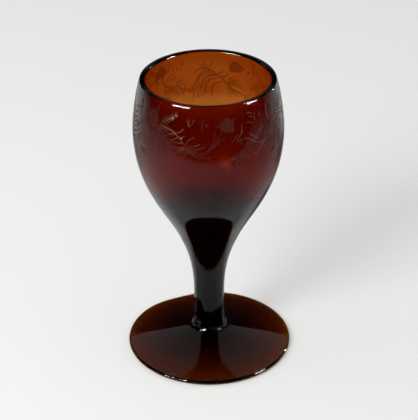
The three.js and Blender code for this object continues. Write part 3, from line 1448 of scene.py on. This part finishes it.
@dataclass
class Bowl(GlassPiece):
    """The bowl: an egg-shaped blown wall with a rolled rim, growing into a thick base, and engraved.

    Its rings have twice as many points beside the engraved band as elsewhere, and four times as many in it.
    """

    finish: GlassFinish = GlassFinish("bowl_amber_red_glass")
    base: float = 50.0
    height: float = 68.0
    joint_diameter: float = 23.1
    joint_lean: float = 22.4
    diameter: float = 57.7
    widest_below_rim: float = 21.2
    wall: float = 2.15
    base_thickness: float = 10.0
    rim_diameter: float = 51.8
    rim_thickness: float = 2.3
    rim_lean: float = 16.2
    base_pull: float = 0.256
    belly_pull: float = 0.458
    shoulder_pull: float = 0.3
    rim_pull: float = 0.24
    cavity_mouth_pull: float = 0.05
    cavity_shoulder_pull: float = 0.42
    cavity_floor_pull: float = 0.42
    festoon: Festoon = Festoon()
    band_low: float = 93.4
    band_high: float = 115.9
    band_rows: int = 88
    below_band: float = 0.3
    above_band: float = 0.2
    rings_below: int = 50
    rings_above: int = 3
    fine_steps: tuple[int, int] = (400, 300)
    rim_steps: tuple[int, int] = (9, 12)
    cavity_steps: tuple[int, int] = (18, 46)
    wall_fade: Range = (2.0, 8.0)
    floor_fade: float = 12.0

    def outer_wall(self) -> np.ndarray:
        """Works out the outline of the outer wall, from the stem to the rim, in fine steps.

        Returns:
            Its points, one row each.
        """
        joint = (self.joint_diameter / 2, self.base)
        widest = (self.diameter / 2, self.base + self.height - self.widest_below_rim)
        belly = swept(joint, UP - self.joint_lean, self.base_pull,
                      widest, UP, self.belly_pull, self.fine_steps[0])
        shoulder = swept(widest, UP, self.shoulder_pull, self.rim_edge(self.rim_lean),
                         UP + self.rim_lean, self.rim_pull, self.fine_steps[1])
        return np.vstack((belly, shoulder[1:]))

    def rim_centre(self) -> Point:
        """Returns the middle of the rolled rim's round."""
        radius = (self.rim_diameter - self.rim_thickness) / 2
        return radius, self.base + self.height - self.rim_thickness / 2

    def rim_edge(self, direction: float) -> Point:
        """Returns the point of the rolled rim in a direction from its middle."""
        return step_from(self.rim_centre(), direction, self.rim_thickness / 2)

    def inner_wall(self) -> np.ndarray:
        """Works out the outline of the cavity, from the rim down to its floor.

        Returns:
            Its points, one row each.
        """
        inner = (self.diameter / 2 - self.wall, self.base + self.height - self.widest_below_rim)
        floor = (0.0, self.base + self.base_thickness)
        rim = self.rim_edge(INWARD + self.rim_lean)
        shoulder = swept(rim, DOWN + self.rim_lean, self.cavity_mouth_pull,
                         inner, DOWN, self.cavity_mouth_pull, self.cavity_steps[0])
        belly = swept(inner, DOWN, self.cavity_shoulder_pull,
                      floor, INWARD, self.cavity_floor_pull, self.cavity_steps[1])
        return np.vstack((shoulder, belly[1:]))

    def engraved_band(self) -> EngravedBand:
        """Cuts the festoon into a band of the outer wall.

        Returns:
            The band.
        """
        band = EngravedBand(self.band_low, self.band_high, self.band_rows, 4 * self.columns,
                            self.festoon.radius)
        self.festoon.draw(band)
        return band

    def build(self) -> bpy.types.Object:
        """Makes the bowl, dressed and in the frame.

        Returns:
            The piece.
        """
        mesh = TurnedMesh("glass_bowl", self.hand)
        outer = self.outer_wall()
        mesh.pole(self.base)
        self.add_below_band(mesh, outer)
        band = self.engraved_band()
        for height, depth, matt in zip(band.heights, band.depth, band.matt):
            mesh.ring(self.outer_radius(outer, height), height, band.columns, depth, matt)
        self.add_above_band(mesh, outer)
        self.add_cavity(mesh)
        mesh.pole(self.base + self.base_thickness)
        return self.dress(mesh.build(), "bowl", "bowl_glass")

    @staticmethod
    def outer_radius(outer: np.ndarray, height: float) -> float:
        """Returns how far the outer wall is from the axis at a height."""
        return float(np.interp(height, outer[:, 1], outer[:, 0]))

    def add_below_band(self, mesh: TurnedMesh, outer: np.ndarray) -> None:
        """Adds the rings of the outer wall from the stem to just below the engraving.

        Args:
            mesh: The bowl's mesh, which has its first pole.
            outer: Outline of the outer wall.
        """
        below = outer[outer[:, 1] < self.band_low - 2 * self.below_band]
        for number, (radius, height) in enumerate(evenly_spread(below, self.rings_below)):
            mesh.ring(radius, height, self.columns)
            if number == 0:
                mesh.crease()
        between = self.band_low - self.below_band
        mesh.ring(self.outer_radius(outer, between), between, 2 * self.columns)

    def add_above_band(self, mesh: TurnedMesh, outer: np.ndarray) -> None:
        """Adds the rings from just above the engraving over the rolled rim.

        Args:
            mesh: The bowl's mesh, up to the top of the engraved band.
            outer: Outline of the outer wall.
        """
        above = evenly_spread(outer[outer[:, 1] > self.band_high + self.above_band], self.rings_above)
        mesh.ring(*above[0], 2 * self.columns)
        centre, half = self.rim_centre(), self.rim_thickness / 2
        rim = np.vstack((arc(centre, half, self.rim_lean, UP, self.rim_steps[0])[1:],
                         arc(centre, half, UP, INWARD + self.rim_lean, self.rim_steps[1])[1:]))
        for radius, height in np.vstack((above[1:], rim)):
            mesh.ring(radius, height, self.columns)

    def add_cavity(self, mesh: TurnedMesh) -> None:
        """Adds the rings of the cavity, which keeps to the turned outline at the rim and the floor.

        Args:
            mesh: The bowl's mesh, up to the inside of the rim.
        """
        top = self.base + self.height
        for radius, height in self.inner_wall()[1:-1]:
            thinned = self.hand.wall(mesh.azimuths(self.columns), height)
            fade = float(smooth_share(top - height, *self.wall_fade)) * min(1.0, radius / self.floor_fade)
            mesh.ring(radius, height, self.columns, -thinned * fade)


# The studio

@dataclass(frozen=True)
class Aim:
    """A place round the glass: azimuth from the camera's side, elevation, and distance in metres."""

    azimuth: float
    elevation: float
    distance: float

    def place(self) -> Vector:
        """Works out the place, seen from the middle of the glass.

        Returns:
            The place.
        """
        around, above = math.radians(self.azimuth), math.radians(self.elevation)
        flat = self.distance * math.cos(above)
        return GLASS_MIDDLE + Vector((flat * math.sin(around), -flat * math.cos(around),
                                      self.distance * math.sin(above)))

    def turned_to_glass(self) -> Matrix:
        """Returns a placing whose -Z axis looks at the middle of the glass."""
        look = (GLASS_MIDDLE - self.place()).to_track_quat("-Z", "Y")
        return Matrix.Translation(self.place()) @ look.to_matrix().to_4x4()


@dataclass(frozen=True)
class SoftLamp:
    """A soft square lamp that lights the scene but isn't mirrored."""

    name: str
    aim: Aim
    watts: float
    size: float

    def build(self) -> None:
        """Hangs the lamp."""
        light = bpy.data.lights.new(self.name, "AREA")
        light.shape = "SQUARE"
        light.size = self.size
        light.energy = self.watts
        made = bpy.data.objects.new(self.name, light)
        bpy.context.scene.collection.objects.link(made)
        made.matrix_world = self.aim.turned_to_glass()
        made.visible_glossy = False


class Facing(Enum):
    """How a sheet of the studio stands."""

    FLAT = "flat"
    ACROSS = "upright, across the camera's view"
    ALONG = "upright, along the camera's view"

    def turn(self) -> Matrix:
        """Works out the turn that stands a flat sheet that way.

        Returns:
            The turn.
        """
        upright = Matrix.Rotation(math.radians(90.0), 4, "X")
        if self is Facing.FLAT:
            return Matrix.Identity(4)
        if self is Facing.ACROSS:
            return upright
        return Matrix.Rotation(math.radians(90.0), 4, "Z") @ upright


@dataclass(frozen=True)
class Sheet:
    """A flat sheet that belongs to the studio, with its size in metres."""

    name: str
    size: Point
    place: Place | Aim
    facing: Facing = Facing.FLAT

    def placing(self) -> Matrix:
        """Works out where the sheet is: turned to the glass from an aim, or standing at a place.

        Returns:
            Its placing.
        """
        if isinstance(self.place, Aim):
            return self.place.turned_to_glass()
        return Matrix.Translation(self.place) @ self.facing.turn()

    def build(self, finish: StudioFinish | DuskFinish) -> bpy.types.Object:
        """Makes the sheet.

        Args:
            finish: Its surface.

        Returns:
            The sheet.
        """
        x, y = self.size[0] / 2, self.size[1] / 2
        mesh = bpy.data.meshes.new(self.name)
        mesh.from_pydata([(-x, -y, 0), (x, -y, 0), (x, y, 0), (-x, y, 0)], [], [(0, 1, 2, 3)])
        mesh.materials.append(finish.material())
        made = bpy.data.objects.new(self.name, mesh)
        bpy.context.scene.collection.objects.link(made)
        made.matrix_world = self.placing()
        return made

    def build_mirrored(self, finish: StudioFinish | DuskFinish) -> None:
        """Makes the sheet so that it shows only in reflections: the cards and dark ends outside the
        picture, and the painted shade over the floor.

        Args:
            finish: Its surface.
        """
        card = self.build(finish)
        card.visible_camera = False
        card.visible_diffuse = False
        card.visible_transmission = False
        card.visible_shadow = False


@dataclass
class Studio:
    """A pale paper floor, soft lamps, and the cards and dark surroundings that the glass mirrors."""

    floor: Sheet = Sheet("studio_floor", (6.0, 6.0), (0.0, 1.0, -0.00002))
    floor_finish: StudioFinish = StudioFinish("studio_paper", (0.89, 0.888, 0.882))
    lamps: tuple[SoftLamp, ...] = (
        SoftLamp("key_lamp", Aim(-40.0, 36.0, 0.85), watts=3.1, size=0.3),
        SoftLamp("side_lamp", Aim(-100.0, 38.0, 0.7), watts=0.35, size=0.5))
    cards: tuple[Sheet, ...] = (Sheet("key_card", (0.56, 0.44), Aim(-45.0, 19.0, 1.0)),
                                Sheet("side_card", (0.33, 0.44), Aim(72.0, 19.0, 1.0)),
                                Sheet("back_card", (0.1, 0.1), Aim(122.0, 5.0, 1.0)))
    card_glows: tuple[float, ...] = (55.0, 75.0, 60.0)
    card_colour: Colour = (1.0, 1.0, 1.0)
    # room_dusk: a sheet of painted shade and painted shadows over the floor, seen only in reflections
    dusk: Sheet = Sheet("room_dusk", (4.9, 4.9), (0.0, 0.0, 0.0004))
    dusk_finish: DuskFinish = DuskFinish("room_dusk")
    dark_finish: StudioFinish = StudioFinish("dark_room", (0.012, 0.011, 0.010), roughness=1.0)
    dark_panels: tuple[Sheet, ...] = (
        Sheet("dark_camera_side", (5.0, 1.3), (0.0, -2.4, 0.65), Facing.ACROSS),
        Sheet("dark_back", (5.0, 1.24), (0.0, 2.0, 0.62), Facing.ACROSS),
        Sheet("dark_ceiling", (5.0, 2.85), (0.0, -0.975, 1.3)),
        Sheet("dark_left_ceiling", (1.7, 1.6), (-1.65, 1.25, 1.3)),
        Sheet("dark_right_ceiling", (1.7, 1.6), (1.65, 1.25, 1.3)),
        Sheet("dark_left", (3.3, 1.3), (-2.4, -0.75, 0.65), Facing.ALONG),
        Sheet("dark_right", (3.3, 1.3), (2.4, -0.75, 0.65), Facing.ALONG))
    fill_level: float = 0.72
    horizon_level: float = 0.86
    ceiling_level: float = 0.44
    ceiling_rise: Range = (0.26, 0.5)
    camera_place: Place = (0.000083, -0.5337, 0.3679)
    camera_tilt: float = 60.07
    camera_roll: float = -0.29
    camera_lens: float = 135.1
    camera_sensor: float = 36.0
    camera_nearest: float = 0.01

    def surroundings(self) -> None:
        """Stands the light cards and the dark ends of the room round the glass, and lays the painted shade
        over the floor.
        """
        for card, glow in zip(self.cards, self.card_glows):
            card.build_mirrored(StudioFinish(f"{card.name}_light", self.card_colour, glow))
        self.dusk.build_mirrored(self.dusk_finish)
        for panel in self.dark_panels:
            panel.build_mirrored(self.dark_finish)

    def world(self) -> None:
        """Lights the room evenly, and gives the glass a pale horizon and a greyer ceiling to mirror."""
        world = bpy.data.worlds.new("studio")
        bpy.context.scene.world = world
        tree = ShaderTree(world)
        direction = tree.out(tree.node("ShaderNodeTexCoord"), "Generated")
        rise = tree.out(tree.node("ShaderNodeSeparateXYZ", inputs={0: direction}), "Z")
        grey = rise.from_to(*self.ceiling_rise, self.horizon_level, self.ceiling_level)
        seen = tree.node("ShaderNodeBackground", inputs={"Color": grey, "Strength": 1.0})
        light = tree.node("ShaderNodeBackground", inputs={
            "Color": (1.0, 1.0, 1.0, 1.0), "Strength": self.fill_level})
        path = tree.node("ShaderNodeLightPath")
        looked_at = (tree.out(path, "Is Camera Ray") + tree.out(path, "Is Glossy Ray")
                     + tree.out(path, "Is Transmission Ray"))
        mixed = tree.node("ShaderNodeMixShader", inputs={
            0: looked_at, 1: light.outputs["Background"], 2: seen.outputs["Background"]})
        tree.node("ShaderNodeOutputWorld", inputs={"Surface": mixed.outputs["Shader"]})

    def camera(self) -> None:
        """Sets up the camera as the photograph was taken."""
        lens = bpy.data.cameras.new("camera")
        lens.lens = self.camera_lens
        lens.sensor_width = self.camera_sensor
        lens.clip_start = self.camera_nearest
        made = bpy.data.objects.new("camera", lens)
        bpy.context.scene.collection.objects.link(made)
        made.matrix_world = (Matrix.Translation(self.camera_place)
                             @ Matrix.Rotation(math.radians(self.camera_tilt), 4, "X")
                             @ Matrix.Rotation(math.radians(self.camera_roll), 4, "Z"))
        bpy.context.scene.camera = made

    def build(self) -> None:
        """Sets up the whole studio."""
        self.camera()
        self.floor.build(self.floor_finish)
        self.surroundings()
        self.world()
        for lamp in self.lamps:
            lamp.build()
        bpy.context.scene.view_settings.view_transform = "Standard"


def main() -> None:
    """Builds the glass and its studio, and reports each piece."""
    logging.basicConfig(level=logging.INFO, format="%(name)s: %(message)s")
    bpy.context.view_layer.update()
    Studio().build()
    LOG.info("studio ready")
    hand = HandWork()
    for maker in (Foot, Stem, Bowl):
        piece = maker(hand).build()
        LOG.info("%s: %d points, %d faces", piece.name, len(piece.data.vertices), len(piece.data.polygons))


if __name__ == "__main__":
    main()
